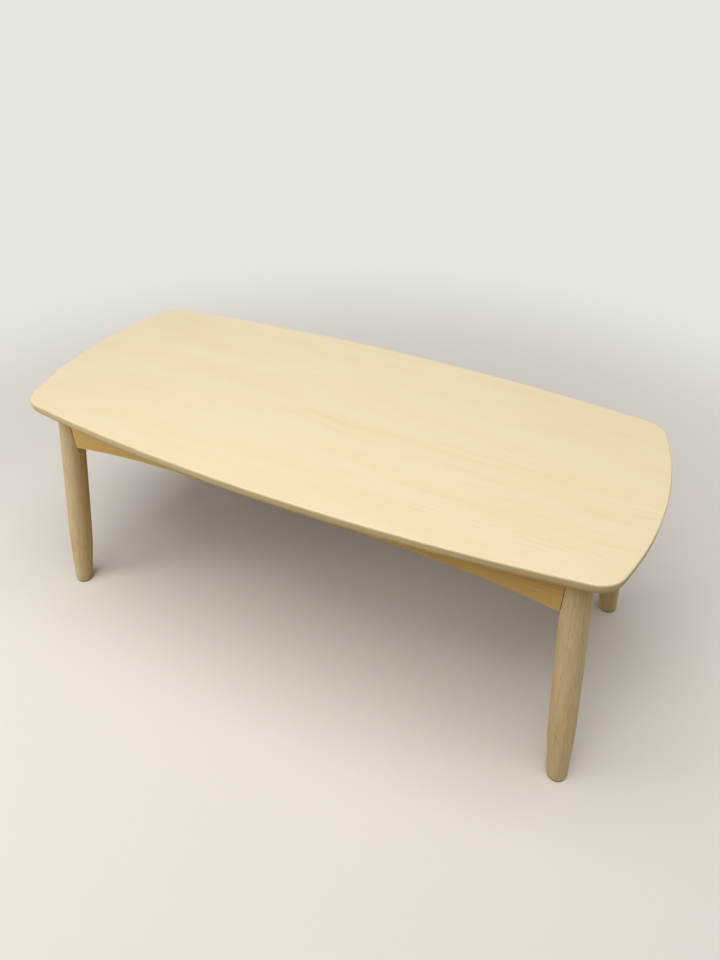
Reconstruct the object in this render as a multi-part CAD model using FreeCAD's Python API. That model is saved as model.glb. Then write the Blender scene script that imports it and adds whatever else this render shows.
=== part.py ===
import FreeCAD, Part
import math
import os

# Low table with a bowed, veneered top on four splayed, turned legs.
# Millimetres. Origin on the floor under the middle of the table, +X along its length, -Y to the front, +Z up.

# Tabletop
table_height = 405.0
top_length = 1000.0
top_width = 454.0
top_thickness = 20.0
long_side_bow = 39.0
end_bow = 46.0
corner_radius = 42.0
edge_round_upper = 3.0
edge_round_lower = 12.0
veneer_thickness = 0.6
lipping_width = 26.0

# Turned legs: straight under the top, then a soft bend into the taper to the foot
leg_diameter = 40.0
foot_diameter = 31.0
leg_taper_length = 98.0
leg_blend_run = 35.0
leg_inset_end = 79.8
leg_inset_side = 78.3
leg_splay_along = 6.65
leg_splay_across = 5.75
leg_flat_from_axis = 9.0
leg_bolt_flat_from_axis = 8.0
foot_ease = 1.5
pad_thickness = 3.0
pad_margin = 0.5

# Aprons: straight in the middle of the lower edge, curving down to the legs
apron_thickness = 20.0
apron_end_height = 73.0
long_apron_middle_height = 52.5
long_apron_curve_run = 239.0
side_apron_middle_height = 59.0
side_apron_curve_run = 100.0
apron_corner_ease = 3.0
apron_arris_ease = 1.2
joint_line_width = 0.8
joint_line_depth = 3.0

# Corner blocks
block_leg_gap = 6.0
block_thickness = 30.0
block_height = 42.0

# Hanger bolts, washers and nuts
bolt_diameter = 8.0
bolt_length = 70.0
bolt_depth_past_axis = 12.0
bolt_hole_clearance = 0.5
thread_clearance = 0.05
washer_diameter = 18.0
washer_thickness = 1.6
nut_across_flats = 13.0
nut_thickness = 6.5

# Pan-head wood screws
screw_diameter = 4.0
screw_head_diameter = 8.0
screw_head_height = 2.6
screw_head_rim = 0.8
screw_tip_length = 4.0
counterbore_clearance = 1.0
shank_clearance = 0.25
block_screw_length = 25.0
block_screw_seat = 9.0
block_screw_from_corner = 44.0
block_screw_pitch = 26.0
top_screw_length = 35.0
top_screw_seat = 20.0
top_screw_aside = 14.0

# Angle brackets between aprons and top
bracket_leg = 24.0
bracket_width = 18.0
bracket_thickness = 2.0
bracket_bend_radius = 3.0
bracket_hole_from_corner = 15.0
bracket_screw_length = 14.0
bracket_pitch = 300.0

# Allowance that a cutting tool runs past the wood
overrun = 20.0

# Heights and places that follow from the sizes above
underside = table_height - top_thickness
leg_radius = leg_diameter / 2
leg_top_x = top_length / 2 - leg_inset_end
leg_top_y = top_width / 2 - leg_inset_side
leg_drop = underside - pad_thickness
foot_x = leg_top_x + leg_drop * math.tan(math.radians(leg_splay_along))
foot_y = leg_top_y + leg_drop * math.tan(math.radians(leg_splay_across))
apron_end_x = leg_top_x - leg_flat_from_axis
apron_end_y = leg_top_y - leg_flat_from_axis
# Each apron's face meets the edge of the leg's flat under the top
apron_face_from_axis = math.sqrt(leg_radius ** 2 - leg_flat_from_axis ** 2)
apron_face_x = leg_top_x + apron_face_from_axis
apron_face_y = leg_top_y + apron_face_from_axis
apron_back_x = apron_face_x - apron_thickness
apron_back_y = apron_face_y - apron_thickness
block_outer = -leg_bolt_flat_from_axis - block_leg_gap
block_inner = block_outer - block_thickness
bolt_z = underside - block_height / 2

Vec = FreeCAD.Vector
UP = Vec(0, 0, 1)
# The diagonal of a corner, from the middle of the table towards the rear right leg
DIAGONAL = Vec(1, 1, 0).normalize()
ACROSS_DIAGONAL = Vec(1, -1, 0).normalize()
SIDES = {"front": -1, "rear": 1}
ENDS = {"left": -1, "right": 1}


def save(node, shape):
    shape.exportStep("parts/" + node + ".step")


def slab(low, high):
    """A block of the whole plan between two heights."""
    size_x = top_length + 2 * overrun
    size_y = top_width + 2 * overrun
    return Part.makeBox(size_x, size_y, high - low, Vec(-size_x / 2, -size_y / 2, low))


def prism(points, low, high):
    """A polygon in plan, raised between two heights."""
    corners = [Vec(x, y, low) for x, y in points]
    face = Part.Face(Part.makePolygon(corners + corners[:1]))
    return face.extrude(UP * (high - low))


def to_corner(shape, side_x, side_y):
    """A copy of a piece of the rear right corner, mirrored to another corner."""
    if side_x < 0:
        shape = shape.mirror(Vec(0, 0, 0), Vec(1, 0, 0))
    if side_y < 0:
        shape = shape.mirror(Vec(0, 0, 0), Vec(0, 1, 0))
    return shape


def corners():
    """The name and the two signs of each corner of the table."""
    for side, side_y in SIDES.items():
        for end, side_x in ENDS.items():
            yield side + "_" + end, side_x, side_y


def four(shape):
    """One copy of a piece in each corner."""
    return [to_corner(shape, side_x, side_y) for _, side_x, side_y in corners()]


def placed(shape, position, direction):
    """A piece made along +Z from the origin, moved to a position and turned to a direction."""
    shape = shape.copy()
    shape.Placement = FreeCAD.Placement(position, FreeCAD.Rotation(UP, direction))
    return shape


def rod(position, direction, radius, length):
    return Part.makeCylinder(radius, length, position, direction)


def corner_point(along, across, height):
    """A point by its place on the corner's diagonal, counted from the leg's axis under the top."""
    return Vec(leg_top_x, leg_top_y, height) + DIAGONAL * along + ACROSS_DIAGONAL * across


# Tabletop outline: two long arcs, two end arcs and four corner arcs, all tangent
long_radius = (top_length ** 2 / 4 + long_side_bow ** 2) / (2 * long_side_bow)
end_radius = (top_width ** 2 / 4 + end_bow ** 2) / (2 * end_bow)
long_centre = Vec(0, top_width / 2 - long_radius, 0)
end_centre = Vec(top_length / 2 - end_radius, 0, 0)


def corner_centre():
    """Centre of the corner arc, which lies inside the long arc and the end arc and touches both."""
    between = end_centre - long_centre
    reach_long = long_radius - corner_radius
    reach_end = end_radius - corner_radius
    along = (reach_long ** 2 - reach_end ** 2 + between.Length ** 2) / (2 * between.Length)
    across = math.sqrt(reach_long ** 2 - along ** 2)
    unit = Vec(between).normalize()
    square = Vec(unit.y, -unit.x, 0)
    return long_centre + unit * along + square * across


corner_at = corner_centre()
towards_side = (corner_at - long_centre).normalize()
towards_end = (corner_at - end_centre).normalize()
towards_mitre = (towards_side + towards_end).normalize()


def outline_face(inset, height):
    """The tabletop's plan, drawn in by an inset all round."""
    side_point = corner_at + towards_side * (corner_radius - inset)
    mitre_point = corner_at + towards_mitre * (corner_radius - inset)
    end_point = corner_at + towards_end * (corner_radius - inset)
    side_middle = Vec(0, top_width / 2 - inset, 0)
    end_middle = Vec(top_length / 2 - inset, 0, 0)

    def at(point, side_x, side_y):
        return Vec(point.x * side_x, point.y * side_y, height)

    arcs = []
    for side in (1, -1):
        arcs.append((at(side_point, -1, side), at(side_middle, 1, side), at(side_point, 1, side)))
        arcs.append((at(end_point, side, 1), at(end_middle, side, 1), at(end_point, side, -1)))
        for end in (1, -1):
            arcs.append((at(side_point, end, side), at(mitre_point, end, side), at(end_point, end, side)))
    edges = [Part.Arc(*points).toShape() for points in arcs]
    return Part.Face(Part.Wire(Part.__sortEdges__(edges)))


def rounded_top():
    """The whole tabletop with its two rounded edges, before it is divided into its layers."""
    board = outline_face(0, underside).extrude(UP * top_thickness)
    upper = [edge for edge in board.Edges if edge.BoundBox.ZMin > table_height - veneer_thickness]
    lower = [edge for edge in board.Edges if edge.BoundBox.ZMax < underside + veneer_thickness]
    board = board.makeFillet(edge_round_upper, upper)
    lower = [edge for edge in board.Edges if edge.BoundBox.ZMax < underside + veneer_thickness]
    return board.makeFillet(edge_round_lower, lower)


def end_region(side):
    """The plan beyond the mitres of one end, where the end lipping lies."""
    far = top_width
    outer = corner_at + towards_mitre * far
    points = [(corner_at.x, corner_at.y), (outer.x, outer.y), (outer.x, -outer.y), (corner_at.x, -corner_at.y)]
    return prism([(x * side, y) for x, y in points], underside, table_height)


def tabletop(screw_holes):
    """Core board, two veneers and four mitred lippings."""
    board = rounded_top()
    core_low = underside + veneer_thickness
    core_high = table_height - veneer_thickness
    core = outline_face(lipping_width, core_low).extrude(UP * (core_high - core_low))
    ring = board.common(slab(core_low, core_high)).cut(core)
    save("tabletop_core", core.cut(screw_holes))
    save("face_veneer", board.common(slab(core_high, table_height)))
    save("backing_veneer", board.common(slab(underside, core_low)).cut(screw_holes))
    long_strips = ring
    for end, side in ENDS.items():
        save("lipping_" + end, ring.common(end_region(side)))
        long_strips = long_strips.cut(end_region(side))
    for side, sign in SIDES.items():
        strip = [solid for solid in long_strips.Solids if solid.CenterOfMass.y * sign > 0]
        save("lipping_" + side, strip[0])


def turned_blank():
    """The leg as it leaves the lathe, along +Z from its top to its foot, with spare at both ends."""
    axis = Vec(foot_x - leg_top_x, foot_y - leg_top_y, -leg_drop)
    waste = leg_radius
    slope = math.atan2(leg_radius - foot_diameter / 2, leg_taper_length)
    bend = leg_blend_run / math.tan(slope / 2)
    bend_start = axis.Length - leg_taper_length - leg_blend_run

    def on_bend(angle):
        return Vec(leg_radius - bend * (1 - math.cos(angle)), 0, bend_start + bend * math.sin(angle))

    points = [
        Vec(foot_diameter / 2 - waste * math.tan(slope), 0, axis.Length + waste),
        Vec(0, 0, axis.Length + waste),
        Vec(0, 0, -waste),
        Vec(leg_radius, 0, -waste),
        on_bend(0),
    ]
    outline = [Part.LineSegment(a, b).toShape() for a, b in zip(points, points[1:])]
    outline.append(Part.Arc(on_bend(0), on_bend(slope / 2), on_bend(slope)).toShape())
    outline.append(Part.LineSegment(on_bend(slope), points[0]).toShape())
    blank = Part.Face(Part.Wire(outline)).revolve(Vec(0, 0, 0), UP, 360)
    return placed(blank, Vec(leg_top_x, leg_top_y, underside), axis)


def leg():
    """Rear right leg: cut level at both ends, with a flat for each apron end and one for the bolt."""
    shape = turned_blank().common(slab(pad_thickness, underside))
    foot_rim = [edge for edge in shape.Edges if edge.BoundBox.ZMax < pad_thickness + foot_ease]
    shape = shape.makeFillet(foot_ease, foot_rim)
    shape = shape.cut(Part.makeBox(apron_end_x, top_width, underside))
    shape = shape.cut(Part.makeBox(top_length, apron_end_y, underside))
    flat = corner_point(-leg_bolt_flat_from_axis, 0, 0)
    reach = flat.x + flat.y
    shape = shape.cut(prism([(0, 0), (reach, 0), (0, reach)], 0, underside))
    pilot_radius = bolt_diameter / 2 + thread_clearance
    pilot_start = corner_point(-leg_radius, 0, bolt_z)
    return shape.cut(rod(pilot_start, DIAGONAL, pilot_radius, leg_radius + bolt_depth_past_axis + thread_clearance))


def foot_pad():
    return Part.makeCylinder(foot_diameter / 2 - pad_margin, pad_thickness, Vec(foot_x, foot_y, 0))


def apron(half_length, middle_height, curve_run):
    """An apron along X, its inner face on the plane y = 0 and its outer face at +Y.

    A narrow rebate at each end of the outer face leaves an open line against the leg.
    """
    low = underside - apron_end_height
    high = underside - middle_height
    rise = high - low
    bend = (curve_run ** 2 + rise ** 2) / (2 * rise)
    straight = half_length - curve_run
    halfway = curve_run / 2
    sag = bend - math.sqrt(bend ** 2 - halfway ** 2)
    outline = []
    for side in (-1, 1):
        tip = Vec(half_length * side, 0, low)
        bow = Vec((straight + halfway) * side, 0, high - sag)
        inner = Vec(straight * side, 0, high)
        shoulder = Vec(half_length * side, 0, underside)
        outline.append(Part.Arc(tip, bow, inner).toShape())
        outline.append(Part.LineSegment(tip, shoulder).toShape())
    outline.append(Part.LineSegment(Vec(-straight, 0, high), Vec(straight, 0, high)).toShape())
    outline.append(Part.LineSegment(Vec(-half_length, 0, underside), Vec(half_length, 0, underside)).toShape())
    face = Part.Face(Part.Wire(Part.__sortEdges__(outline)))
    board = face.extrude(Vec(0, apron_thickness, 0))
    tips = [edge for edge in board.Edges if edge.BoundBox.ZMax < low + apron_arris_ease]
    board = board.makeFillet(apron_corner_ease, tips)
    lower = [edge for edge in board.Edges if is_lower_arris(edge)]
    board = board.makeFillet(apron_arris_ease, lower)
    rebate_y = apron_thickness - joint_line_depth
    for start in (-half_length, half_length - joint_line_width):
        board = board.cut(Part.makeBox(joint_line_width, joint_line_depth, apron_end_height, Vec(start, rebate_y, low)))
    return board


def is_lower_arris(edge):
    """Whether an edge lies along an apron's lower outline, on its outer or inner face."""
    box = edge.BoundBox
    on_face = box.YLength < apron_arris_ease / 2
    below_top = box.ZMax < underside - apron_arris_ease
    return on_face and below_top and box.XLength > apron_arris_ease / 2


def corner_block():
    """Rear right corner block: its two ends lie on the backs of the aprons."""
    outer = corner_point(block_outer, 0, 0)
    inner = corner_point(block_inner, 0, 0)
    outer_sum = outer.x + outer.y
    inner_sum = inner.x + inner.y
    points = [
        (outer_sum - apron_back_y, apron_back_y),
        (inner_sum - apron_back_y, apron_back_y),
        (apron_back_x, inner_sum - apron_back_x),
        (apron_back_x, outer_sum - apron_back_x),
    ]
    block = prism(points, underside - block_height, underside)
    bolt_hole_radius = bolt_diameter / 2 + bolt_hole_clearance
    hole_start = corner_point(block_inner - overrun, 0, bolt_z)
    block = block.cut(rod(hole_start, DIAGONAL, bolt_hole_radius, block_thickness + 2 * overrun))
    for seat, direction in block_screw_places():
        block = block.cut(screw_room(seat, direction, block_screw_length, block_thickness))
    seat, direction = top_screw_place()
    return block.cut(screw_room(seat, direction, top_screw_length, block_height))


def block_screw_places():
    """Seats and directions of the screws from a corner block into its two aprons."""
    places = []
    for step in (-0.5, 0.5):
        height = bolt_z + block_screw_pitch * step
        along_x = apron_back_x - block_screw_from_corner
        along_y = apron_back_y - block_screw_from_corner
        places.append((Vec(along_x, apron_back_y - block_screw_seat, height), Vec(0, 1, 0)))
        places.append((Vec(apron_back_x - block_screw_seat, along_y, height), Vec(1, 0, 0)))
    return places


def top_screw_place():
    """Seat and direction of the screw from a corner block up into the top, beside the bolt."""
    middle = (block_outer + block_inner) / 2
    return corner_point(middle, top_screw_aside, underside - top_screw_seat), UP


def bracket_places():
    """Each bracket's corner between apron and top, and the direction of its apron."""
    places = []
    for side in (1, -1):
        for step in (-0.5, 0.5):
            places.append((Vec(bracket_pitch * step, apron_back_y * side, underside), Vec(0, side, 0)))
        places.append((Vec(apron_back_x * side, 0, underside), Vec(side, 0, 0)))
    return places


def bracket_screw_places():
    """Seats and directions of the two screws of every bracket."""
    places = []
    for corner, outwards in bracket_places():
        under = UP * bracket_thickness
        back = outwards * bracket_thickness
        places.append((corner - outwards * bracket_hole_from_corner - under, UP))
        places.append((corner - UP * bracket_hole_from_corner - back, outwards))
    return places


def angle_bracket(corner, outwards):
    """A bent steel angle, one leg on the apron's back and one under the top."""
    across = UP.cross(outwards)
    start = corner - across * (bracket_width / 2)

    def at(in_from_apron, down):
        return start - outwards * in_from_apron - UP * down

    steel = bracket_thickness
    profile = [at(0, 0), at(bracket_leg, 0), at(bracket_leg, steel), at(steel, steel)]
    profile += [at(steel, bracket_leg), at(0, bracket_leg)]
    face = Part.Face(Part.makePolygon(profile + profile[:1]))
    angle = face.extrude(across * bracket_width)
    outer_bend = [edge for edge in angle.Edges if all((v.Point - corner).cross(across).Length < 1e-6
                                                      for v in edge.Vertexes)]
    inner_bend = [edge for edge in angle.Edges if all((v.Point - at(steel, steel)).cross(across).Length < 1e-6
                                                      for v in edge.Vertexes)]
    angle = angle.makeFillet(bracket_bend_radius, outer_bend)
    angle = angle.makeFillet(bracket_bend_radius - steel, inner_bend)
    hole_radius = screw_diameter / 2 + shank_clearance
    hole_down = corner - UP * bracket_hole_from_corner
    hole_in = corner - outwards * bracket_hole_from_corner
    angle = angle.cut(rod(hole_down + outwards * steel, -outwards, hole_radius, 3 * steel))
    return angle.cut(rod(hole_in + UP * steel, -UP, hole_radius, 3 * steel))


def pan_screw(length):
    """A pan-head screw along +Z: its seat at the origin, its shank forwards and its head behind."""
    head = screw_head_diameter / 2
    shank = screw_diameter / 2
    rise = screw_head_height - screw_head_rim
    ball = (head ** 2 + rise ** 2) / (2 * rise)
    half_angle = math.asin(head / ball) / 2
    crown = Vec(0, 0, -screw_head_height)
    shoulder = Vec(ball * math.sin(half_angle), 0, crown.z + ball - ball * math.cos(half_angle))
    rim = Vec(head, 0, -screw_head_rim)
    points = [
        crown,
        Vec(0, 0, length),
        Vec(shank, 0, length - screw_tip_length),
        Vec(shank, 0, 0),
        Vec(head, 0, 0),
        rim,
    ]
    outline = [Part.LineSegment(a, b).toShape() for a, b in zip(points, points[1:])]
    face = Part.Face(Part.Wire(outline + [Part.Arc(rim, shoulder, crown).toShape()]))
    return face.revolve(Vec(0, 0, 0), UP, 360)


def screw_room(seat, direction, length, head_room):
    """The hole and counterbore that a screw needs in the wood."""
    hole = screw_hole(seat, direction, length)
    bore = screw_head_diameter / 2 + counterbore_clearance
    return hole.fuse(rod(seat, -direction, bore, head_room))


def screw_hole(seat, direction, length):
    return rod(seat, direction, screw_diameter / 2 + shank_clearance, length + shank_clearance)


def hanger_bolt():
    """The rear right bolt: in the leg at one end and through the corner block at the other."""
    radius = bolt_diameter / 2
    point = radius
    points = [Vec(0, 0, 0), Vec(radius, 0, point), Vec(radius, 0, bolt_length - point / 4)]
    points += [Vec(radius * 0.75, 0, bolt_length), Vec(0, 0, bolt_length)]
    face = Part.Face(Part.makePolygon(points + points[:1]))
    bolt = face.revolve(Vec(0, 0, 0), UP, 360)
    return placed(bolt, corner_point(bolt_depth_past_axis, 0, bolt_z), -DIAGONAL)


def washer():
    ring = Part.makeCylinder(washer_diameter / 2, washer_thickness)
    hole = Part.makeCylinder(bolt_diameter / 2 + bolt_hole_clearance / 2, washer_thickness)
    return placed(ring.cut(hole), corner_point(block_inner, 0, bolt_z), -DIAGONAL)


def nut():
    """A hexagon nut with its corners turned off at both faces."""
    across_corners = nut_across_flats / math.cos(math.pi / 6) / 2
    corner_list = [math.pi / 3 * step for step in range(6)]
    hexagon = prism([(across_corners * math.cos(a), across_corners * math.sin(a)) for a in corner_list],
                    0, nut_thickness)
    flat = nut_across_flats / 2
    drop = (across_corners - flat) * math.tan(math.pi / 6)
    points = [Vec(0, 0, 0), Vec(flat, 0, 0), Vec(across_corners, 0, drop)]
    points += [Vec(across_corners, 0, nut_thickness - drop), Vec(flat, 0, nut_thickness), Vec(0, 0, nut_thickness)]
    turned = Part.Face(Part.makePolygon(points + points[:1])).revolve(Vec(0, 0, 0), UP, 360)
    bore = Part.makeCylinder(bolt_diameter / 2 + thread_clearance, nut_thickness)
    shape = hexagon.common(turned).cut(bore)
    return placed(shape, corner_point(block_inner - washer_thickness, 0, bolt_z), -DIAGONAL)


def drilled(shape, holes):
    """A piece with every hole that reaches it."""
    near = [hole for hole in holes if hole.BoundBox.intersect(shape.BoundBox)]
    return shape.cut(near) if near else shape


def main():
    os.makedirs("parts", exist_ok=True)

    block_screw_holes = []
    for seat, direction in block_screw_places():
        block_screw_holes += four(screw_hole(seat, direction, block_screw_length))
    bracket_holes = [screw_hole(*place, bracket_screw_length) for place in bracket_screw_places()]
    apron_holes = block_screw_holes + [hole for hole in bracket_holes if hole.BoundBox.ZMax < underside]
    top_holes = four(screw_hole(*top_screw_place(), top_screw_length))
    top_holes += [hole for hole in bracket_holes if hole.BoundBox.ZMax > underside]

    tabletop(top_holes)

    for name, side_x, side_y in corners():
        save("leg_" + name, to_corner(leg(), side_x, side_y))
        save("foot_pad_" + name, to_corner(foot_pad(), side_x, side_y))
        save("corner_block_" + name, to_corner(corner_block(), side_x, side_y))

    long_apron = apron(apron_end_x, long_apron_middle_height, long_apron_curve_run)
    long_apron = placed(long_apron, Vec(0, apron_back_y, 0), UP)
    for side, sign in SIDES.items():
        save("apron_" + side, drilled(to_corner(long_apron, 1, sign), apron_holes))
    side_apron = apron(apron_end_y, side_apron_middle_height, side_apron_curve_run)
    side_apron.rotate(Vec(0, 0, 0), UP, -90)
    side_apron.translate(Vec(apron_back_x, 0, 0))
    for end, sign in ENDS.items():
        save("apron_" + end, drilled(to_corner(side_apron, sign, 1), apron_holes))

    save("hanger_bolts", Part.makeCompound(four(hanger_bolt())))
    save("bolt_washers", Part.makeCompound(four(washer())))
    save("bolt_nuts", Part.makeCompound(four(nut())))
    block_screws = []
    for place in block_screw_places():
        block_screws += four(placed(pan_screw(block_screw_length), *place))
    save("block_screws", Part.makeCompound(block_screws))
    save("top_screws", Part.makeCompound(four(placed(pan_screw(top_screw_length), *top_screw_place()))))
    save("angle_brackets", Part.makeCompound([angle_bracket(*place) for place in bracket_places()]))
    bracket_screws = [placed(pan_screw(bracket_screw_length), *place) for place in bracket_screw_places()]
    save("bracket_screws", Part.makeCompound(bracket_screws))


main()
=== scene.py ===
import bmesh
import bpy
import math
from mathutils import Matrix, Vector


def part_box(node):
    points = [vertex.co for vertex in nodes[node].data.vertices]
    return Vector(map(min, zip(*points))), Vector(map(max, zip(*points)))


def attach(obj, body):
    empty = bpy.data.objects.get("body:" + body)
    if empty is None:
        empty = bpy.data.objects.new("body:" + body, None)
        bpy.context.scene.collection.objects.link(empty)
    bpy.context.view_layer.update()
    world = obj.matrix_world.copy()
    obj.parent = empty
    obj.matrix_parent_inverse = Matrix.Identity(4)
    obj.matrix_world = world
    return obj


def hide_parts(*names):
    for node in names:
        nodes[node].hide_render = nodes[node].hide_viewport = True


# Looks of the low table: every surface gets its wood, metal or felt,
# and the fasteners get their recesses and threads.
# Metres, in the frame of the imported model. Pattern sizes are in millimetres.
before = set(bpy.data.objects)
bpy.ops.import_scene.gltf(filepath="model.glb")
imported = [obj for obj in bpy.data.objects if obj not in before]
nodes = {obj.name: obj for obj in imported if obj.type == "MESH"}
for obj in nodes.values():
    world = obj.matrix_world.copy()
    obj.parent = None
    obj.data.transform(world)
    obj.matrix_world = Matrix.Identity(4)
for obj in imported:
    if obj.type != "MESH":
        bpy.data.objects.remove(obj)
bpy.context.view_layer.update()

MM = 0.001
SIDES = {"front": -1, "rear": 1}
ENDS = {"left": -1, "right": 1}
CORNERS = [(side, end) for side in SIDES for end in ENDS]
ALONG_LENGTH = (1, 0, 0)
ALONG_WIDTH = (0, 1, 0)
UP = Vector((0, 0, 1))
# Sockets of a Mix node that mixes colours: its factor, its two colours and its result
FACTOR, FIRST, SECOND, RESULT = 0, 6, 7, 2
# Sockets of a Random Value node that draws a decimal number: its maximum and its result
MOST, DRAWN = 3, 1


def linear(hex_colour):
    """The linear colour of an sRGB hex value."""
    shares = [int(hex_colour[at:at + 2], 16) / 255 for at in (1, 3, 5)]
    return [s / 12.92 if s <= 0.04045 else ((s + 0.055) / 1.055) ** 2.4 for s in shares] + [1.0]


def add(tree, kind, inputs=None, **settings):
    """Adds a node with its settings. Each input is a value, or the socket or list of sockets that feed it."""
    node = tree.nodes.new(kind)
    for name, value in settings.items():
        setattr(node, name, value)
    for name, value in (inputs or {}).items():
        socket = node.inputs[name]
        if isinstance(value, bpy.types.NodeSocket):
            value = [value]
        if isinstance(value, list) and isinstance(value[0], bpy.types.NodeSocket):
            for source in value:
                tree.links.new(source, socket)
        else:
            socket.default_value = value
    return node


def empty_tree(owner):
    """The cleared node tree of a material or of the world."""
    owner.use_nodes = True
    owner.node_tree.nodes.clear()
    return owner.node_tree


def new_material(name):
    """A material, its tree and its surface shader."""
    material = bpy.data.materials.new(name)
    tree = empty_tree(material)
    shader = add(tree, "ShaderNodeBsdfPrincipled")
    add(tree, "ShaderNodeOutputMaterial", {"Surface": shader.outputs["BSDF"]})
    return material, tree, shader


def finish_surface(tree, shader, colour, gloss, bump, constants):
    """Links a surface's patterns to its shader, and sets what is the same all over."""
    tree.links.new(colour.outputs[RESULT], shader.inputs["Base Color"])
    tree.links.new(gloss.outputs[0], shader.inputs["Roughness"])
    tree.links.new(bump.outputs["Normal"], shader.inputs["Normal"])
    for socket, value in constants.items():
        shader.inputs[socket].default_value = value


def new_object(name, data):
    """An object in the scene."""
    made = bpy.data.objects.new(name, data)
    bpy.context.scene.collection.objects.link(made)
    return made


def middle(node):
    """The middle of a node's box."""
    low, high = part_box(node)
    return (low + high) / 2


# Camera, from the photograph's own perspective:
# its place in metres, its turns in degrees and its focal length in pixels
CAMERA_AT = Vector((0.4631, -0.8635, 1.0348))
CAMERA_YAW = 26.114
CAMERA_PITCH = 37.967
CAMERA_ROLL = -0.244
FOCAL_PIXELS = 736.3
IMAGE_HEIGHT = 960
# The sensor's longer side in millimetres, which lies along the image's height
SENSOR = 36.0


def make_camera():
    """The camera that sees the table as the photograph does."""
    yaw, pitch, roll = (math.radians(angle) for angle in (CAMERA_YAW, CAMERA_PITCH, CAMERA_ROLL))
    right = Vector((math.cos(yaw), math.sin(yaw), 0))
    forward = Vector((-math.sin(yaw) * math.cos(pitch), math.cos(yaw) * math.cos(pitch), -math.sin(pitch)))
    down = forward.cross(right)
    across = right * math.cos(roll) + down * math.sin(roll)
    up = right * math.sin(roll) - down * math.cos(roll)
    data = bpy.data.cameras.new("camera")
    data.sensor_width = SENSOR
    data.lens = FOCAL_PIXELS * SENSOR / IMAGE_HEIGHT
    camera = new_object("camera", data)
    facing = Matrix((across, up, -forward)).transposed().to_4x4()
    camera.matrix_world = Matrix.Translation(CAMERA_AT) @ facing
    bpy.context.scene.camera = camera


make_camera()

# Wood. A solid pattern in the grain's own frame: X along the fibres, in millimetres.
# Real fibres and vessel lines are a tenth to a third of a millimetre wide.
# They are drawn 1 to 1.5 mm wide, to show.

# How dark a growth ring is at points of its year: it darkens late, and pales again before the year ends
RING_DARKNESS = ((0.55, 0.12), (0.88, 1.0), (0.96, 0.35))
# How fine each layer of noise goes
LAYER_DETAIL = {"warp": 1.0, "patch": 1.0, "tone": 2.0, "fibre": 3.0, "vessel": 1.0}
# Noise seldom leaves the values between these two
NOISE_LOW = 0.3
NOISE_HIGH = 0.7
# Rings come in where the patches' noise is above the first value, and are full above the second
PATCH_LOW = 0.42
PATCH_HIGH = 0.68
# How much the noise rises from a vessel line's border to its full darkness
VESSEL_RISE = 0.12
# How far the roughness goes below and above its usual value
ROUGH_BELOW = 0.07
ROUGH_ABOVE = 0.09
FIBRE_RELIEF = 0.05 * MM


def grain_frame(tree, origin, along):
    """Object coordinates turned so that the fibres lie along X, in millimetres from the origin."""
    turn = Vector(along).rotation_difference(Vector(ALONG_LENGTH))
    place = {
        "Vector": add(tree, "ShaderNodeTexCoord").outputs["Object"],
        "Location": -(turn @ (Vector(origin) / MM)),
        "Rotation": turn.to_euler(),
        "Scale": (1 / MM, 1 / MM, 1 / MM),
    }
    return add(tree, "ShaderNodeMapping", place).outputs["Vector"]


def noise_layers(tree, place, layers):
    """One noise for each named layer, from its length and width in millimetres and its detail."""
    found = {}
    for name, (length, width, detail) in layers.items():
        scaled = add(tree, "ShaderNodeVectorMath", {0: place, 1: (1 / length, 1 / width, 1 / width)},
                     operation="MULTIPLY")
        noise = add(tree, "ShaderNodeTexNoise", {"Vector": scaled.outputs[0], "Scale": 1.0, "Detail": detail})
        found[name] = noise.outputs["Fac"]
    return found


def growth_rings(tree, grain, warp, pith, look):
    """How dark the growth rings are, 0 to 1, by the distance to a pith that leans against the fibres."""
    axes = add(tree, "ShaderNodeSeparateXYZ", {0: grain}).outputs
    wander = look["ring_wander"]
    sway = add(tree, "ShaderNodeMath", {0: warp, 1: wander, 2: pith[1] - wander / 2},
               operation="MULTIPLY_ADD")
    lean = add(tree, "ShaderNodeMath", {0: axes["X"], 1: look["lean"], 2: sway.outputs[0]},
               operation="MULTIPLY_ADD")
    side = add(tree, "ShaderNodeMath", {0: axes["Y"], 1: pith[0]}, operation="ADD")
    depth = add(tree, "ShaderNodeMath", {0: axes["Z"], 1: lean.outputs[0]}, operation="ADD")
    plane = add(tree, "ShaderNodeCombineXYZ", {"Y": side.outputs[0], "Z": depth.outputs[0]})
    radius = add(tree, "ShaderNodeVectorMath", {0: plane.outputs[0]}, operation="LENGTH")
    years = add(tree, "ShaderNodeMath", {0: radius.outputs["Value"], 1: look["ring_spacing"]},
                operation="DIVIDE")
    season = add(tree, "ShaderNodeMath", {0: years.outputs[0]}, operation="FRACT")
    ramp = add(tree, "ShaderNodeValToRGB", {"Fac": season.outputs[0]})
    points = ramp.color_ramp.elements
    points[0].color = (0, 0, 0, 1)
    points[1].color = (0, 0, 0, 1)
    for position, level in RING_DARKNESS:
        points.new(position).color = (level, level, level, 1)
    return ramp.outputs["Color"]


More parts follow.
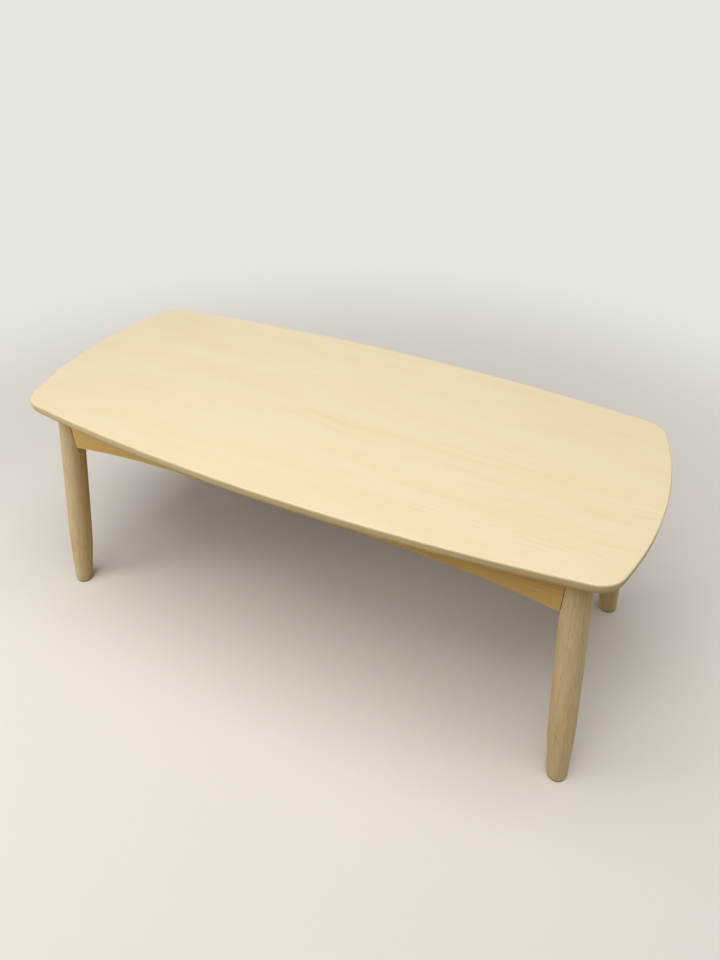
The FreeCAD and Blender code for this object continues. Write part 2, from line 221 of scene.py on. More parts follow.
def wood(name, origin, along, look, number=0, open_ends=None):
    """One piece's wood: growth rings that fade in and out, broad tone, fine fibres and short vessel lines.

    Each number puts the pith at another place, so that pieces of one wood differ.
    Beyond the distance open_ends from the origin, in millimetres, the colour is bare end grain darkened with
    painted shade of the open joint.
    """
    material, tree, shader = new_material(name)
    grain = grain_frame(tree, origin, along)
    layers = {layer: (*look[layer], detail) for layer, detail in LAYER_DETAIL.items()}
    noise = noise_layers(tree, grain, layers)
    pith = [start + number * step for start, step in zip(look["pith"], look["pith_step"])]
    rings = growth_rings(tree, grain, noise["warp"], pith, look)
    patch = add(tree, "ShaderNodeMapRange", {
        "Value": noise["patch"], "From Min": PATCH_LOW, "From Max": PATCH_HIGH, "To Max": look["ring_share"]})
    vessel = add(tree, "ShaderNodeMapRange", {
        "Value": noise["vessel"], "From Min": look["vessel_from"],
        "From Max": look["vessel_from"] + VESSEL_RISE})
    tone = add(tree, "ShaderNodeMapRange", {
        "Value": noise["tone"], "From Min": NOISE_LOW, "From Max": NOISE_HIGH})
    fibre = add(tree, "ShaderNodeMapRange", {
        "Value": noise["fibre"], "From Min": NOISE_LOW, "From Max": NOISE_HIGH,
        "To Max": look["fibre_share"]})
    late = add(tree, "ShaderNodeMath", {0: rings, 1: patch.outputs[0], 2: fibre.outputs[0]},
               operation="MULTIPLY_ADD")
    lines = add(tree, "ShaderNodeMath", {0: vessel.outputs[0], 1: look["vessel_share"], 2: late.outputs[0]},
                operation="MULTIPLY_ADD", use_clamp=True)
    ground = add(tree, "ShaderNodeMix", {
        FACTOR: tone.outputs[0], FIRST: linear(look["pale"]), SECOND: linear(look["warm"])},
        data_type="RGBA")
    colour = add(tree, "ShaderNodeMix", {
        FACTOR: lines.outputs[0], FIRST: ground.outputs[RESULT], SECOND: linear(look["dark"])},
        data_type="RGBA")
    gloss = add(tree, "ShaderNodeMapRange", {
        "Value": noise["tone"], "To Min": look["rough"] - ROUGH_BELOW, "To Max": look["rough"] + ROUGH_ABOVE})
    relief = add(tree, "ShaderNodeMath", {0: noise["fibre"], 1: vessel.outputs[0]}, operation="SUBTRACT")
    bump = add(tree, "ShaderNodeBump", {
        "Strength": look["relief"], "Distance": FIBRE_RELIEF, "Height": relief.outputs[0]})
    # Painted shade: the strip at each end is coloured dark, as bare end grain lying in the shade of the open
    # joint
    if open_ends:
        run = add(tree, "ShaderNodeSeparateXYZ", {0: grain}).outputs["X"]
        distance = add(tree, "ShaderNodeMath", {0: run}, operation="ABSOLUTE")
        beyond = add(tree, "ShaderNodeMath", {0: distance.outputs[0], 1: open_ends}, operation="GREATER_THAN")
        colour = add(tree, "ShaderNodeMix", {
            FACTOR: beyond.outputs[0], FIRST: colour.outputs[RESULT], SECOND: linear(look["end_grain_and_painted_shade"])},
            data_type="RGBA")
    finish_surface(tree, shader, colour, gloss, bump, {
        "IOR": look["ior"], "Specular IOR Level": look["specular"]})
    return material


# Sliced maple under satin lacquer: cream, almost even, with faint arched lines and small flecks
MAPLE_FACE = {
    "pale": "#F5E9C8", "warm": "#F1E3BF", "dark": "#C9AE7C",
    "rough": 0.52, "ior": 1.45, "specular": 0.5, "relief": 0.12,
    "pith": (60, 70), "pith_step": (0, 0), "lean": 0.03,
    "ring_spacing": 8.0, "ring_wander": 34, "ring_share": 0.10, "warp": (300, 80), "patch": (170, 60),
    "tone": (260, 45), "fibre": (34, 1.4), "fibre_share": 0.06,
    "vessel": (10, 1.5), "vessel_from": 0.72, "vessel_share": 0.22,
}
# Solid maple lipping: sanded by hand, so its lacquer is duller,
# and darker than the face, partly for its edge grain and partly as painted shade of the rounded edge
MAPLE_EDGE = dict(
    MAPLE_FACE, pale="#E9DFBA", warm="#E0D3AC", dark="#B79C6C", specular=0.2,
    pith=(30, 55), pith_step=(17, -9), lean=0.02, ring_share=0.2, fibre_share=0.14)
# Backing veneer: a darker leaf that is only sealed, so its rings and fibres show more and it shines less
MAPLE_BACK = dict(
    MAPLE_FACE, pale="#DDC79A", warm="#D2B98A", dark="#A98C5C", rough=0.6, relief=0.4,
    pith=(-40, 90), lean=0.04, ring_share=0.4, fibre_share=0.2)
# Turned rubberwood: pale tan with long fine vessel lines, under thin satin lacquer that shows little gloss
RUBBERWOOD_LEG = {
    "pale": "#F5E7C4", "warm": "#EEDDB6", "dark": "#A98656",
    "rough": 0.50, "ior": 1.45, "specular": 0.2, "relief": 0.2,
    "pith": (34, 18), "pith_step": (1, -1), "lean": 0.03,
    "ring_spacing": 5.5, "ring_wander": 14, "ring_share": 0.2, "warp": (240, 35), "patch": (150, 20),
    "tone": (120, 14), "fibre": (45, 1.1), "fibre_share": 0.28,
    "vessel": (16, 1.0), "vessel_from": 0.62, "vessel_share": 0.36,
}
# Planed rubberwood under the same lacquer, painted paler and warmer than the legs: painted light that
# makes up for the shade under the top and stands in for warm light thrown up from below.
# Its ends are bare end grain darkened with painted shade in the open joints
RUBBERWOOD_APRON = dict(
    RUBBERWOOD_LEG, pale="#FADE9C", warm="#F4D38C", dark="#B48A50", end_grain_and_painted_shade="#5A3E1E",
    pith=(70, 22), pith_step=(-11, 13), lean=0.05, ring_share=0.14, tone=(180, 20), fibre_share=0.17,
    vessel_share=0.3)
# Sawn hardwood: bare, so brown, dull and rough
HARDWOOD_BLOCK = dict(
    RUBBERWOOD_LEG, pale="#D3B78A", warm="#C4A475", dark="#8E6C42", rough=0.78, relief=0.9,
    pith=(25, 30), pith_step=(1, 0), lean=0.08, ring_share=0.5, fibre_share=0.4)

# Where the legs' axes meet the underside of the top
LEG_TOP_X = 0.4202
LEG_TOP_Y = 0.1487
# The open line between an apron's end and its leg, in millimetres
JOINT_LINE = 0.85
# What a leg's or block's side and end add to its number, or take from it
NUMBER_BY_SIDE = 7
NUMBER_BY_END = 4


def dress(node, material):
    """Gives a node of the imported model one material."""
    mesh = nodes[node].data
    mesh.materials.clear()
    mesh.materials.append(material)


def dress_wood():
    """Gives every wooden node its own wood, with the fibres along the piece."""
    for node, name, look in (("face_veneer", "maple_veneer_satin_lacquer", MAPLE_FACE),
                             ("backing_veneer", "maple_backing_veneer_sealed", MAPLE_BACK)):
        dress(node, wood(name, middle(node), ALONG_LENGTH, look))
    for number, side in enumerate(list(SIDES) + list(ENDS)):
        along = ALONG_LENGTH if side in SIDES else ALONG_WIDTH
        lipping = wood("maple_lipping_satin_lacquer_" + side, middle("lipping_" + side), along,
                       MAPLE_EDGE, number)
        dress("lipping_" + side, lipping)
        low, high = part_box("apron_" + side)
        half_length = max(high.x - low.x, high.y - low.y) / 2 / MM
        apron = wood("rubberwood_planed_satin_lacquer_" + side, middle("apron_" + side), along,
                     RUBBERWOOD_APRON, number, half_length - JOINT_LINE)
        dress("apron_" + side, apron)
    for side, end in CORNERS:
        corner = side + "_" + end
        number = NUMBER_BY_SIDE * SIDES[side] + NUMBER_BY_END * ENDS[end]
        low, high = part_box("leg_" + corner)
        foot = middle("foot_pad_" + corner)
        axis = Vector((foot.x - ENDS[end] * LEG_TOP_X, foot.y - SIDES[side] * LEG_TOP_Y, low.z - high.z))
        leg = wood("rubberwood_turned_satin_lacquer_" + corner, foot, axis, RUBBERWOOD_LEG, number)
        dress("leg_" + corner, leg)
        across = Vector((ENDS[end], -SIDES[side], 0))
        block = wood("hardwood_sawn_bare_" + corner, middle("corner_block_" + corner), across,
                     HARDWOOD_BLOCK, number)
        dress("corner_block_" + corner, block)


dress_wood()

# Other materials. The finest grains, fibres and crystals are drawn up to 0.6 mm across,
# coarser than real, to show.
COARSE_DETAIL = 2.0
FINE_DETAIL = 3.0
# The two noises added seldom leave the values between these two
MOTTLE_LOW = 0.7
MOTTLE_HIGH = 1.3
GRAIN_RELIEF = 0.1 * MM


def plain_grains(name, coarse, fine, look):
    """A surface without a grain direction: two sizes of mottling in millimetres, colour, gloss and relief."""
    material, tree, shader = new_material(name)
    place = grain_frame(tree, (0, 0, 0), ALONG_LENGTH)
    noise = noise_layers(tree, place, {
        "coarse": (coarse, coarse, COARSE_DETAIL), "fine": (fine, fine, FINE_DETAIL)})
    mixed = add(tree, "ShaderNodeMath", {0: noise["coarse"], 1: noise["fine"]}, operation="ADD")
    share = add(tree, "ShaderNodeMapRange", {
        "Value": mixed.outputs[0], "From Min": MOTTLE_LOW, "From Max": MOTTLE_HIGH})
    colour = add(tree, "ShaderNodeMix", {
        FACTOR: share.outputs[0], FIRST: linear(look["pale"]), SECOND: linear(look["dark"])},
        data_type="RGBA")
    smoothest, roughest = look["rough"]
    gloss = add(tree, "ShaderNodeMapRange", {
        "Value": noise["coarse"], "From Min": NOISE_LOW, "From Max": NOISE_HIGH,
        "To Min": smoothest, "To Max": roughest})
    bump = add(tree, "ShaderNodeBump", {
        "Strength": look["relief"], "Distance": GRAIN_RELIEF, "Height": noise["fine"]})
    finish_surface(tree, shader, colour, gloss, bump, look["shader"])
    return material


# Zinc-plated steel: cool silver with a cloudy gloss
zinc = plain_grains("steel_zinc_plated", 5.0, 0.6, {
    "pale": "#D3D5D6", "dark": "#AFB1B0", "rough": (0.26, 0.44), "relief": 0.08, "shader": {"Metallic": 1.0}})
# Fibreboard: brown, specked with loose fibres
fibreboard = plain_grains("fibreboard_raw", 2.2, 0.5, {
    "pale": "#B08D62", "dark": "#85653F", "rough": (0.8, 0.95), "relief": 0.4, "shader": {}})
# Pressed felt: matt beige with a soft edge of standing fibres
felt = plain_grains("felt_pressed_beige", 1.6, 0.35, {
    "pale": "#C2AE8A", "dark": "#8E7854", "rough": (0.9, 1.0), "relief": 1.0,
    "shader": {"Sheen Weight": 0.35, "Sheen Roughness": 0.6, "Specular IOR Level": 0.2}})

dress("tabletop_core", fibreboard)
for node in ("bolt_washers", "bolt_nuts", "angle_brackets"):
    dress(node, zinc)

# Fasteners and pads. Each kind is made once in geometry nodes and set at its places.

# Edges that bend by more than this, in degrees, stay sharp
SHARP_FROM = 38
# Corners of a thread in each turn, and corners of its ridge
THREAD_CORNERS = 20
RIDGE_CORNERS = 4
# Profiles of turned forms: places along the form, and shares of its full radius there
HEAD_CROWN = ((0.0, 0.45), (0.12, 0.68), (0.35, 0.90), (0.68, 0.995), (1.0, 1.0))
PAD_BULGE = ((0.0, 0.94), (0.15, 0.985), (0.5, 1.0), (0.85, 0.985), (1.0, 0.95))
# Share of a recess's width that is left at its bottom
RECESS_TAPER = 0.55
# Scales a cone of four corners so that its foot is a square with sides of one
SQUARE_FOOT = 0.7071
# Share of the shank's radius that is left at a screw's tip
TIP_SHARE = 0.04
# Share of a screw's length before its thread starts
PLAIN_SHARE = 0.3
# The felt's rim is uneven in tufts of about 1.4 mm
TUFTS_PER_METRE = 700.0
TUFT_DETAIL = 2.0


def copies_tree(name, sizes):
    """A tree with a named input for each size, and the sockets of its inputs."""
    tree = bpy.data.node_groups.new(name, "GeometryNodeTree")
    kinds = {"Points": "NodeSocketGeometry", **{size: "NodeSocketFloat" for size in sizes}}
    kinds.update({"Seed": "NodeSocketInt", "Material": "NodeSocketMaterial"})
    for label, kind in kinds.items():
        tree.interface.new_socket(label, in_out="INPUT", socket_type=kind)
    tree.interface.new_socket("Geometry", in_out="OUTPUT", socket_type="NodeSocketGeometry")
    return tree, add(tree, "NodeGroupInput").outputs


def profile_radius(tree, profile, full):
    """The radius along a turned form, from its profile and its full radius."""
    along = add(tree, "GeometryNodeSplineParameter").outputs["Factor"]
    shape = add(tree, "ShaderNodeFloatCurve", {"Value": along})
    curve = shape.mapping.curves[0]
    curve.points[0].location = profile[0]
    curve.points[1].location = profile[-1]
    for place in profile[1:-1]:
        curve.points.new(*place)
    shape.mapping.update()
    return add(tree, "ShaderNodeMath", {0: shape.outputs[0], 1: full}, operation="MULTIPLY").outputs[0]


def lathe(tree, low, high, radius, rings, segments):
    """A turned form on Z between two heights. Its radius is a field along it."""
    ends = [add(tree, "ShaderNodeCombineXYZ", {"Z": height}).outputs[0] for height in (low, high)]
    line = add(tree, "GeometryNodeCurvePrimitiveLine", {"Start": ends[0], "End": ends[1]})
    points = add(tree, "GeometryNodeResampleCurve", {"Curve": line.outputs[0], "Count": rings})
    circle = add(tree, "GeometryNodeCurvePrimitiveCircle", {"Resolution": segments, "Radius": 1.0})
    turned = add(tree, "GeometryNodeCurveToMesh", {
        "Curve": points.outputs[0], "Profile Curve": circle.outputs[0], "Scale": radius, "Fill Caps": True})
    return turned.outputs[0]


def thread(tree, start, length, crest, depth, pitch):
    """A ridge wound on Z, with its crest at the given radius."""
    turns = add(tree, "ShaderNodeMath", {0: length, 1: pitch}, operation="DIVIDE")
    centre = add(tree, "ShaderNodeMath", {0: crest, 1: depth}, operation="SUBTRACT")
    spiral = add(tree, "GeometryNodeCurveSpiral", {
        "Resolution": THREAD_CORNERS, "Rotations": turns.outputs[0], "Start Radius": centre.outputs[0],
        "End Radius": centre.outputs[0], "Height": length})
    upright = add(tree, "GeometryNodeSetCurveNormal", {"Curve": spiral.outputs[0]}, mode="Z_UP")
    ridge = add(tree, "GeometryNodeCurvePrimitiveCircle", {"Resolution": RIDGE_CORNERS, "Radius": depth})
    wound = add(tree, "GeometryNodeCurveToMesh", {
        "Curve": upright.outputs[0], "Profile Curve": ridge.outputs[0], "Fill Caps": True})
    lift = add(tree, "ShaderNodeCombineXYZ", {"Z": start})
    lifted = add(tree, "GeometryNodeTransform", {
        "Geometry": wound.outputs[0], "Translation": lift.outputs[0]})
    return lifted.outputs[0]


def set_copies(tree, given, forms):
    """Joins the forms, and sets real copies at the points, along their facing and with a random twist."""
    joined = add(tree, "GeometryNodeJoinGeometry", {0: forms})
    smooth = add(tree, "GeometryNodeSetShadeSmooth", {"Geometry": joined.outputs[0], "Shade Smooth": True})
    angle = add(tree, "GeometryNodeInputMeshEdgeAngle")
    gentle = add(tree, "FunctionNodeCompare", {
        0: angle.outputs["Unsigned Angle"], 1: math.radians(SHARP_FROM)}, operation="LESS_THAN")
    edged = add(tree, "GeometryNodeSetShadeSmooth", {
        "Geometry": smooth.outputs[0], "Shade Smooth": gentle.outputs[0]}, domain="EDGE")
    facing = add(tree, "GeometryNodeInputNamedAttribute", {"Name": "facing"}, data_type="FLOAT_VECTOR")
    turned = add(tree, "FunctionNodeAlignRotationToVector", {"Vector": facing.outputs[0]}, axis="Z")
    spin = add(tree, "FunctionNodeRandomValue", {MOST: math.tau, "Seed": given["Seed"]}, data_type="FLOAT")
    twist = add(tree, "FunctionNodeAxisAngleToRotation", {"Angle": spin.outputs[DRAWN]})
    rotation = add(tree, "FunctionNodeRotateRotation", {
        "Rotation": turned.outputs[0], "Rotate By": twist.outputs[0]}, rotation_space="LOCAL")
    placed = add(tree, "GeometryNodeInstanceOnPoints", {
        "Points": given["Points"], "Instance": edged.outputs[0], "Rotation": rotation.outputs[0]})
    real = add(tree, "GeometryNodeRealizeInstances", {0: placed.outputs[0]})
    dressed = add(tree, "GeometryNodeSetMaterial", {
        "Geometry": real.outputs[0], "Material": given["Material"]})
    add(tree, "NodeGroupOutput", {"Geometry": dressed.outputs[0]})


def screw_tree():
    """A pan-head wood screw with a cross recess. Its seat is at the point, and its tip lies along the facing.

    The recess goes through the head, and the shank closes it.
    """
    tree, given = copies_tree("pan_head_screws", (
        "Length", "Thread start", "Crest radius", "Thread depth", "Pitch", "Tip length",
        "Head radius", "Head height", "Recess span", "Recess width", "Recess depth"))
    back = add(tree, "ShaderNodeMath", {0: given["Head height"], 1: -1.0}, operation="MULTIPLY").outputs[0]
    girth = profile_radius(tree, HEAD_CROWN, given["Head radius"])
    head = lathe(tree, back, 0.0, girth, rings=14, segments=32)
    wings = []
    for quarter in (0, 1):
        wing = add(tree, "GeometryNodeMeshCone", {
            "Vertices": 4, "Radius Top": RECESS_TAPER, "Radius Bottom": 1.0, "Depth": given["Recess depth"]})
        squared = add(tree, "GeometryNodeTransform", {
            "Geometry": wing.outputs[0], "Rotation": (0, 0, math.radians(45)),
            "Scale": (SQUARE_FOOT, SQUARE_FOOT, 1.0)})
        size = add(tree, "ShaderNodeCombineXYZ", {
            "X": given["Recess span"], "Y": given["Recess width"], "Z": 1.0})
        place = add(tree, "ShaderNodeCombineXYZ", {"Z": back})
        wings.append(add(tree, "GeometryNodeTransform", {
            "Geometry": squared.outputs[0], "Translation": place.outputs[0],
            "Rotation": (0, 0, math.radians(90 * quarter)), "Scale": size.outputs[0]}).outputs[0])
    cut = add(tree, "GeometryNodeMeshBoolean", {"Mesh 1": head, "Mesh 2": wings}, operation="DIFFERENCE",
              solver="EXACT")
    root = add(tree, "ShaderNodeMath", {0: given["Crest radius"], 1: given["Thread depth"]},
               operation="SUBTRACT")
    run = add(tree, "GeometryNodeSplineParameter").outputs["Length"]
    left = add(tree, "ShaderNodeMath", {0: given["Length"], 1: run}, operation="SUBTRACT")
    taper = add(tree, "ShaderNodeMath", {0: left.outputs[0], 1: given["Tip length"]}, operation="DIVIDE")
    kept = add(tree, "ShaderNodeMath", {0: taper.outputs[0], 1: TIP_SHARE}, operation="MAXIMUM")
    share = add(tree, "ShaderNodeMath", {0: kept.outputs[0], 1: 1.0}, operation="MINIMUM")
    shank = add(tree, "ShaderNodeMath", {0: share.outputs[0], 1: root.outputs[0]}, operation="MULTIPLY")
    body = lathe(tree, 0.0, given["Length"], shank.outputs[0], rings=25, segments=20)
    threaded = add(tree, "ShaderNodeMath", {0: given["Length"], 1: given["Thread start"]},
                   operation="SUBTRACT")
    worm = add(tree, "ShaderNodeMath", {0: threaded.outputs[0], 1: given["Tip length"]}, operation="SUBTRACT")
    ridge = thread(tree, given["Thread start"], worm.outputs[0], given["Crest radius"], given["Thread depth"],
                   given["Pitch"])
    set_copies(tree, given, [cut.outputs[0], body, ridge])
    return tree


def bolt_tree():
    """A hanger bolt's rod, threaded from end to end. It starts at the point and runs along the facing."""
    tree, given = copies_tree("hanger_bolts", ("Length", "Crest radius", "Thread depth", "Pitch"))
    root = add(tree, "ShaderNodeMath", {0: given["Crest radius"], 1: given["Thread depth"]},
               operation="SUBTRACT")
    body = lathe(tree, 0.0, given["Length"], root.outputs[0], rings=2, segments=24)
    wound = add(tree, "ShaderNodeMath", {0: given["Length"], 1: given["Pitch"]}, operation="SUBTRACT")
    ridge = thread(tree, given["Thread depth"], wound.outputs[0], given["Crest radius"],
                   given["Thread depth"], given["Pitch"])
    set_copies(tree, given, [body, ridge])
    return tree


def pad_tree():
    """A felt disc with a bulging, slightly uneven rim. It starts at the point and is as thick as it says."""
    tree, given = copies_tree("felt_pads", ("Radius", "Thickness", "Unevenness"))
    girth = profile_radius(tree, PAD_BULGE, given["Radius"])
    disc = lathe(tree, 0.0, given["Thickness"], girth, rings=9, segments=64)
    rough = add(tree, "ShaderNodeTexNoise", {"Scale": TUFTS_PER_METRE, "Detail": TUFT_DETAIL})
    inward = add(tree, "ShaderNodeMath", {0: rough.outputs["Fac"], 1: -1.0}, operation="MULTIPLY")
    depth = add(tree, "ShaderNodeMath", {0: inward.outputs[0], 1: given["Unevenness"]}, operation="MULTIPLY")
    spot = add(tree, "GeometryNodeInputPosition")
    flat = add(tree, "ShaderNodeVectorMath", {0: spot.outputs[0], 1: (1, 1, 0)}, operation="MULTIPLY")
    outwards = add(tree, "ShaderNodeVectorMath", {0: flat.outputs[0]}, operation="NORMALIZE")
    move = add(tree, "ShaderNodeVectorMath", {0: outwards.outputs[0], "Scale": depth.outputs[0]},
               operation="SCALE")
    worn = add(tree, "GeometryNodeSetPosition", {"Geometry": disc, "Offset": move.outputs[0]})
    set_copies(tree, given, [worn.outputs[0]])
    return tree


def make_copies(name, tree, places, values):
    """One piece with a copy at each place. A place is a point and a facing."""
    mesh = bpy.data.meshes.new(name)
    mesh.from_pydata([point for point, facing in places], [], [])
    facings = mesh.attributes.new("facing", "FLOAT_VECTOR", "POINT")
    for entry, (point, facing) in zip(facings.data, places):
        entry.vector = facing
    piece = new_object(name, mesh)
    modifier = piece.modifiers.new(name, "NODES")
    modifier.node_group = tree
    for item in tree.interface.items_tree:
        if item.in_out == "INPUT" and item.name in values:
            modifier[item.identifier] = values[item.name]
    finished = piece.evaluated_get(bpy.context.evaluated_depsgraph_get())
    made = bpy.data.meshes.new_from_object(finished)
    piece.modifiers.clear()
    piece.data = made
    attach(piece, "root")
    return piece


block_low, block_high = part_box("corner_block_rear_right")
APRON_BACK_X, APRON_BACK_Y, UNDERSIDE = block_high
BOLT_HEIGHT = (block_low.z + block_high.z) / 2
BLOCK_SCREW_SEAT = 9 * MM
BLOCK_SCREW_FROM_CORNER = 44 * MM
BLOCK_SCREW_PITCH = 26 * MM
TOP_SCREW_SEAT = 20 * MM
TOP_SCREW_ASIDE = 14 * MM
BLOCK_MIDDLE_FROM_LEG = 29 * MM
BOLT_PAST_AXIS = 12 * MM
BRACKET_THICKNESS = 2 * MM
BRACKET_HOLE = 15 * MM
BRACKET_ALONG = 150 * MM
DIAGONAL = math.sqrt(0.5)


def fastener_places():
    """Points and facings of the screws and bolts, from the corner blocks and brackets that they hold."""
    block, top, bolt, bracket = [], [], [], []
    for end in ENDS.values():
        for side in SIDES.values():
            outwards = Vector((end * DIAGONAL, side * DIAGONAL, 0))
            across = Vector((end * DIAGONAL, -side * DIAGONAL, 0))
            leg = Vector((end * LEG_TOP_X, side * LEG_TOP_Y, 0))
            near = APRON_BACK_X - BLOCK_SCREW_SEAT, APRON_BACK_Y - BLOCK_SCREW_SEAT
            far = APRON_BACK_X - BLOCK_SCREW_FROM_CORNER, APRON_BACK_Y - BLOCK_SCREW_FROM_CORNER
            for step in (-0.5, 0.5):
                height = BOLT_HEIGHT + step * BLOCK_SCREW_PITCH
                block.append((Vector((end * far[0], side * near[1], height)), Vector((0, side, 0))))
                block.append((Vector((end * near[0], side * far[1], height)), Vector((end, 0, 0))))
            block_middle = leg - outwards * BLOCK_MIDDLE_FROM_LEG + across * TOP_SCREW_ASIDE
            top.append((block_middle + UP * (UNDERSIDE - TOP_SCREW_SEAT), UP))
            bolt.append((leg + outwards * BOLT_PAST_AXIS + UP * BOLT_HEIGHT, -outwards))
    angles = [(Vector((end * BRACKET_ALONG, side * APRON_BACK_Y, UNDERSIDE)), Vector((0, side, 0)))
              for end in ENDS.values() for side in SIDES.values()]
    angles += [(Vector((end * APRON_BACK_X, 0, UNDERSIDE)), Vector((end, 0, 0))) for end in ENDS.values()]
    for angle, outwards in angles:
        bracket.append((angle - outwards * BRACKET_HOLE - UP * BRACKET_THICKNESS, UP))
        bracket.append((angle - UP * BRACKET_HOLE - outwards * BRACKET_THICKNESS, outwards))
    return {"block_screws": block, "top_screws": top, "hanger_bolts": bolt, "bracket_screws": bracket}


SCREW = {
    "Crest radius": 2.0 * MM, "Thread depth": 0.45 * MM, "Pitch": 1.8 * MM, "Tip length": 4 * MM,
    "Head radius": 4.0 * MM, "Head height": 2.6 * MM, "Recess span": 4.4 * MM, "Recess width": 1.0 * MM,
    "Recess depth": 3.0 * MM, "Material": zinc}
SCREW_LENGTHS = {"block_screws": 25 * MM, "top_screws": 35 * MM, "bracket_screws": 14 * MM}
BOLT = {
    "Length": 70 * MM, "Crest radius": 4.0 * MM, "Thread depth": 0.6 * MM, "Pitch": 1.25 * MM,
    "Material": zinc}
PAD = {"Radius": 15.0 * MM, "Thickness": 3.0 * MM, "Unevenness": 0.35 * MM, "Material": felt}
# First seeds of the random twists
SCREW_SEED = 11
BOLT_SEED = 21
PAD_SEED = 31


def make_fasteners():
    """Screws, bolts and pads with their detail, each piece in place of its node."""
    places = fastener_places()
    screws = screw_tree()
    for seed, (name, length) in enumerate(SCREW_LENGTHS.items(), SCREW_SEED):
        sizes = dict(SCREW, Length=length, Seed=seed)
        sizes["Thread start"] = PLAIN_SHARE * length
        piece = make_copies(name + "_threaded", screws, places[name], sizes)
        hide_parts(name)
    bolts = make_copies("hanger_bolts_threaded", bolt_tree(), places["hanger_bolts"],
                        dict(BOLT, Seed=BOLT_SEED))
    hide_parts("hanger_bolts")
    pads = pad_tree()
    for seed, (side, end) in enumerate(CORNERS, PAD_SEED):
        node = "foot_pad_" + side + "_" + end
        low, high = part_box(node)
        under = Vector(((low.x + high.x) / 2, (low.y + high.y) / 2, low.z))
        piece = make_copies("felt_" + node, pads, [(under, UP)], dict(PAD, Seed=seed))
        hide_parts(node)


make_fasteners()

# Light: a wide soft box overhead, a smaller one in front, and others on the left, on the right and behind.
# Each has its place, the point that it faces, its width and height, and its power in watts.
LAMP_COLOUR = "#FFFAF2"
LAMPS = {
    "soft_box_overhead": ((0.1, -0.4, 2.55), (0, 0, 0.3), (1.9, 1.9), 40.5),
    "soft_box_front": ((0.1, -1.6, 2.3), (0, 0, 0.3), (1.2, 0.9), 12.5),
    "soft_box_front_left": ((-1.2, -1.5, 1.35), (-0.25, 0, 0.3), (1.0, 1.3), 3),
    "soft_box_left_low": ((-1.2, -1.1, 0.7), (-0.45, -0.1, 0.25), (0.8, 0.8), 5.2),
    "soft_box_right": ((2.4, -0.3, 1.3), (0, 0, 0.3), (1.6, 1.4), 7.2),
    "soft_box_behind_right": ((1.6, 1.7, 1.2), (0, 0, 0.3), (1.6, 1.4), 3.1),
    "soft_box_behind_left": ((-1.3, 2.0, 1.0), (-0.1, 0, 0.3), (1.6, 1.2), 4.5),
}
WORLD_COLOUR = "#FFFDF8"
BACKDROP = "#E8E5DF"
LIGHT_ABOVE = 0.02
LIGHT_BELOW = 0.7
# The light from below fades out from this height of a direction up to the horizon
BELOW_HORIZON = -0.1
# The floor's own colour, and the warm colour of the light that it throws back
FLOOR_SHOWN = "#F5F3F0"
FLOOR_BOUNCE = "#A68B48"
FLOOR_REACH = 20.0
# Distances over which the floor fades into the backdrop
FADE_FROM = 0.6
FADE_TO = 1.7
# The floor is open under each sole, a little smaller than the sole
FLOOR_OPENING = 13.4 * MM
OPENING_CORNERS = 48


def area_light(name, place, target, size, power):
    """A rectangular lamp that faces its target."""
    data = bpy.data.lights.new(name, "AREA")
    data.shape = "RECTANGLE"
    data.size, data.size_y = size
    data.energy = power
    data.color = linear(LAMP_COLOUR)[:3]
    lamp = new_object(name, data)
    lamp.location = place
    lamp.rotation_euler = (Vector(target) - Vector(place)).to_track_quat("-Z", "Y").to_euler()


def seen_directly(tree):
    """1 for what the camera sees directly, in gloss or through glass."""
    path = add(tree, "ShaderNodeLightPath").outputs
    sharp = add(tree, "ShaderNodeMath", {0: path["Is Camera Ray"], 1: path["Is Glossy Ray"]},
                operation="MAXIMUM")
    clear = add(tree, "ShaderNodeMath", {0: sharp.outputs[0], 1: path["Is Transmission Ray"]},
                operation="MAXIMUM")
    return clear.outputs[0]


def make_world():
    """A faint light from above, one from below for the soles, and a pale backdrop behind the object."""
    world = bpy.data.worlds.new("pale_room")
    bpy.context.scene.world = world
    tree = empty_tree(world)
    direction = add(tree, "ShaderNodeTexCoord").outputs["Generated"]
    height = add(tree, "ShaderNodeSeparateXYZ", {0: direction}).outputs["Z"]
    strength = add(tree, "ShaderNodeMapRange", {
        "Value": height, "From Min": BELOW_HORIZON, "From Max": 0.0, "To Min": LIGHT_BELOW,
        "To Max": LIGHT_ABOVE})
    light = add(tree, "ShaderNodeBackground", {
        "Color": linear(WORLD_COLOUR), "Strength": strength.outputs[0]})
    shown = add(tree, "ShaderNodeBackground", {"Color": linear(BACKDROP), "Strength": 1.0})
    mixed = add(tree, "ShaderNodeMixShader", {
        "Fac": seen_directly(tree), 1: light.outputs[0], 2: shown.outputs[0]})
    add(tree, "ShaderNodeOutputWorld", {"Surface": mixed.outputs[0]})


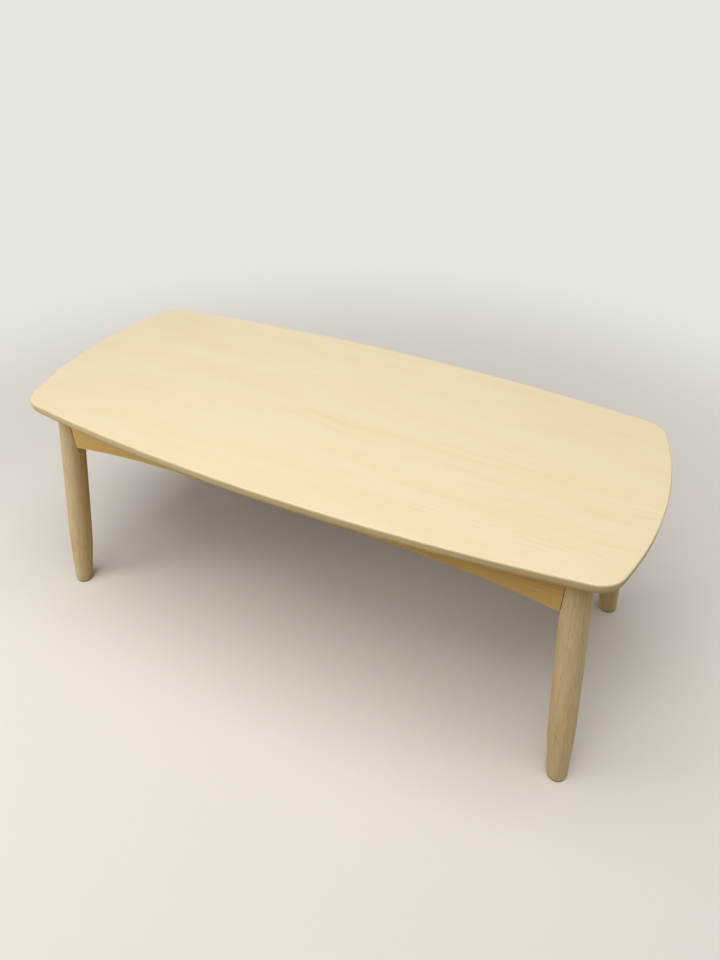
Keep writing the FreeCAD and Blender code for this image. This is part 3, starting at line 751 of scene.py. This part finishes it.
def floor_mesh():
    """A level square with a round opening under each sole."""
    outlines = [[Vector((x, y, 0)) * FLOOR_REACH for x, y in ((-1, -1), (1, -1), (1, 1), (-1, 1))]]
    turns = [math.tau * step / OPENING_CORNERS for step in range(OPENING_CORNERS)]
    rim = [Vector((math.cos(turn), math.sin(turn), 0)) * FLOOR_OPENING for turn in turns]
    for side, end in CORNERS:
        centre = middle("foot_pad_" + side + "_" + end)
        outlines.append([Vector((centre.x, centre.y, 0)) + point for point in rim])
    plane = bmesh.new()
    borders = []
    for outline in outlines:
        corners = [plane.verts.new(point) for point in outline]
        borders += [plane.edges.new((corners[at - 1], corner)) for at, corner in enumerate(corners)]
    bmesh.ops.triangle_fill(plane, edges=borders, use_beauty=True, normal=UP)
    mesh = bpy.data.meshes.new("floor")
    plane.to_mesh(mesh)
    plane.free()
    return mesh


def make_floor():
    """A plain pale floor that runs out into the backdrop, and lets a view from below through."""
    mesh = floor_mesh()
    floor = new_object("floor", mesh)
    material = bpy.data.materials.new("plain_matt_floor")
    tree = empty_tree(material)
    seen = seen_directly(tree)
    bounce = add(tree, "ShaderNodeBsdfDiffuse", {"Color": linear(FLOOR_BOUNCE)})
    shown = add(tree, "ShaderNodeBsdfDiffuse", {"Color": linear(FLOOR_SHOWN)})
    near = add(tree, "ShaderNodeMixShader", {"Fac": seen, 1: bounce.outputs[0], 2: shown.outputs[0]})
    far = add(tree, "ShaderNodeEmission", {"Color": linear(BACKDROP), "Strength": 1.0})
    place = add(tree, "ShaderNodeTexCoord").outputs["Object"]
    distance = add(tree, "ShaderNodeVectorMath", {0: place}, operation="LENGTH").outputs["Value"]
    fade = add(tree, "ShaderNodeMapRange", {"Value": distance, "From Min": FADE_FROM, "From Max": FADE_TO},
               interpolation_type="SMOOTHSTEP")
    share = add(tree, "ShaderNodeMath", {0: fade.outputs[0], 1: seen}, operation="MULTIPLY")
    above = add(tree, "ShaderNodeMixShader", {"Fac": share.outputs[0], 1: near.outputs[0], 2: far.outputs[0]})
    below = add(tree, "ShaderNodeBsdfTransparent")
    under = add(tree, "ShaderNodeNewGeometry").outputs["Backfacing"]
    mixed = add(tree, "ShaderNodeMixShader", {"Fac": under, 1: above.outputs[0], 2: below.outputs[0]})
    add(tree, "ShaderNodeOutputMaterial", {"Surface": mixed.outputs[0]})
    mesh.materials.append(material)


for name, (place, target, size, power) in LAMPS.items():
    area_light(name, place, target, size, power)
make_world()
make_floor()
bpy.context.scene.view_settings.view_transform = "Standard"
